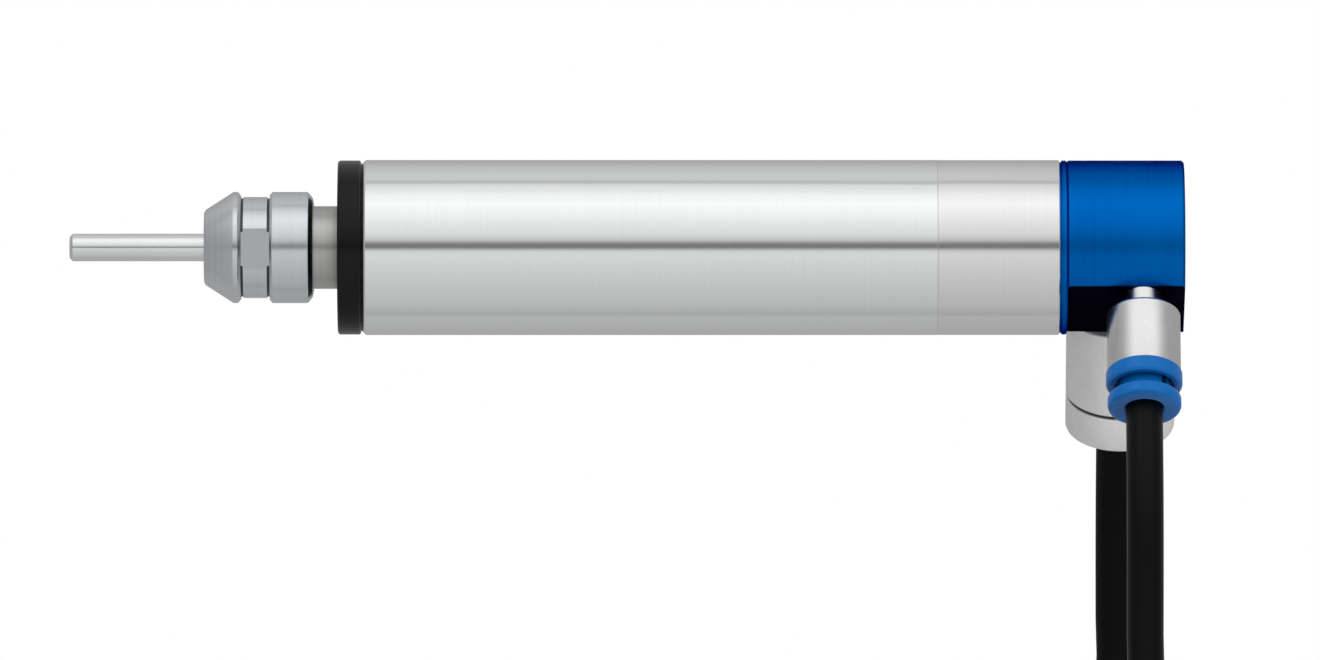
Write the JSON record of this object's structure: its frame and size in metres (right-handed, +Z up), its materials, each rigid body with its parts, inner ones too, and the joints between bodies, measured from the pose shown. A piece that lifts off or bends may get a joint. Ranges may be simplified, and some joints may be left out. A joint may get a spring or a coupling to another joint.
{
  "type": "high-speed motor spindle",
  "caption": "Slim cylindrical high-speed motor spindle with a collet nose, a rear block with a cord gland and a push-in air fitting, and its coiled cord and hose.",
  "frame": {"origin": "on the spindle axis, at the middle of the front tube's clamp cylinder", "axes": "+X along the spindle axis from the tool towards the rear block, +Z up, the two fittings pointing down at 30 degrees each side of -Z"},
  "size_m": [0.1213, 0.1253, 0.0945],
  "materials": {
    "ground_steel": "ground and polished stainless steel",
    "nut_steel": "fine turned steel",
    "shaft_steel": "turned hardened steel",
    "black_cap": "black anodised, satin",
    "blue_block": "blue anodised, satin",
    "gland_metal": "nickel plated, satin",
    "fitting_metal": "nickel plated",
    "blue_plastic": "moulded, glossy",
    "black_rubber": "moulded",
    "cord_jacket": "extruded, matt",
    "hose_jacket": "extruded polyurethane",
    "bearing_steel": "ground",
    "ceramic": "polished silicon nitride",
    "cage_resin": "moulded phenolic",
    "magnet": "sintered",
    "brass": "turned",
    "lamination": "stacked sheet",
    "copper": "enamelled wire",
    "circuit_board": "coated",
    "lead_jacket": "extruded",
    "dark_steel": "black oxide",
    "strap": "woven",
    "gold": "gold plated"
  },
  "bodies": {
    "root": {"front_outer_ring": "bearing_steel", "second_outer_ring": "bearing_steel", "rear_outer_ring": "bearing_steel", "outer_spacer": "bearing_steel", "front_cap": "black_cap", "front_housing": "ground_steel", "rear_housing": "ground_steel", "stator_core": "lamination", "stator_winding": "copper", "sensor_board": "circuit_board", "motor_leads": "lead_jacket", "bearing_holder": "bearing_steel", "holder_o_rings": "black_rubber", "preload_springs": "bearing_steel", "rear_ring": "blue_block", "rear_block": "blue_block", "block_screws": "dark_steel", "gland_body": "gland_metal", "gland_gasket": "black_rubber", "gland_nut": "gland_metal", "gland_seal": "black_rubber", "air_fitting_body": "fitting_metal", "air_fitting_seals": "black_rubber", "hose_claw": "bearing_steel", "air_guide_ring": "blue_plastic", "motor_cord": "cord_jacket", "cord_coil": "cord_jacket", "cord_tail": "cord_jacket", "air_hose": "hose_jacket", "hose_coil": "hose_jacket", "hose_tail": "hose_jacket", "coil_straps": "strap", "plug_boot": "black_rubber", "plug_shell": "gland_metal", "plug_insert": "black_rubber", "plug_contacts": "gold"},
    "rotor": {"spindle_shaft": "shaft_steel", "front_shaft_nut": "dark_steel", "rear_shaft_nut": "dark_steel", "inner_spacer": "bearing_steel", "rotor_magnet": "magnet", "rotor_sleeve": "bearing_steel", "front_balance_ring": "brass", "rear_balance_ring": "brass", "front_inner_ring": "bearing_steel", "second_inner_ring": "bearing_steel", "rear_inner_ring": "bearing_steel"},
    "front_cages": {"front_balls": "ceramic", "second_balls": "ceramic", "front_cage": "cage_resin", "second_cage": "cage_resin"},
    "rear_cages": {"rear_balls": "ceramic", "rear_cage": "cage_resin"},
    "collet": {"collet": "nut_steel"},
    "nut": {"collet_nut": "nut_steel"},
    "tool": {"tool_shank": "shaft_steel"},
    "release": {"release_sleeve": "blue_plastic"},
    "coupling": {"plug_ring": "gland_metal"}
  },
  "joints": [
    {"name": "spindle_spin", "type": "hinge", "parent": "root", "child": "rotor", "pos_m": [0, 0, 0], "axis": [1, 0, 0], "continuous": true},
    {"name": "front_cage_spin", "type": "hinge", "parent": "root", "child": "front_cages", "pos_m": [0, 0, 0], "axis": [1, 0, 0], "continuous": true},
    {"name": "rear_cage_spin", "type": "hinge", "parent": "root", "child": "rear_cages", "pos_m": [0, 0, 0], "axis": [1, 0, 0], "continuous": true},
    {"name": "collet_draw", "type": "slide", "parent": "rotor", "child": "collet", "axis": [-1, 0, 0], "range_m": [0, 0.0015]},
    {"name": "nut_turn", "type": "hinge", "parent": "collet", "child": "nut", "pos_m": [-0.04, 0, 0], "axis": [-1, 0, 0], "range_deg": [0, 1080]},
    {"name": "tool_slide", "type": "slide", "parent": "collet", "child": "tool", "axis": [-1, 0, 0], "range_m": [0, 0.0215]},
    {"name": "release_press", "type": "slide", "parent": "root", "child": "release", "axis": [0, 0.5, 0.866], "range_m": [0, 0.001], "stiffness_N_per_m": 500, "springref_m": -0.0005},
    {"name": "plug_ring_turn", "type": "hinge", "parent": "root", "child": "coupling", "pos_m": [-0.053, 0.0031, -0.078], "axis": [-1, 0, 0], "continuous": true}
  ],
  "couplings": [
    {"joint": "front_cage_spin", "follows": "spindle_spin", "ratio": 0.41667},
    {"joint": "rear_cage_spin", "follows": "spindle_spin", "ratio": 0.37785},
    {"joint": "nut_turn", "follows": "collet_draw", "rad_per_m": 12566}
  ]
}
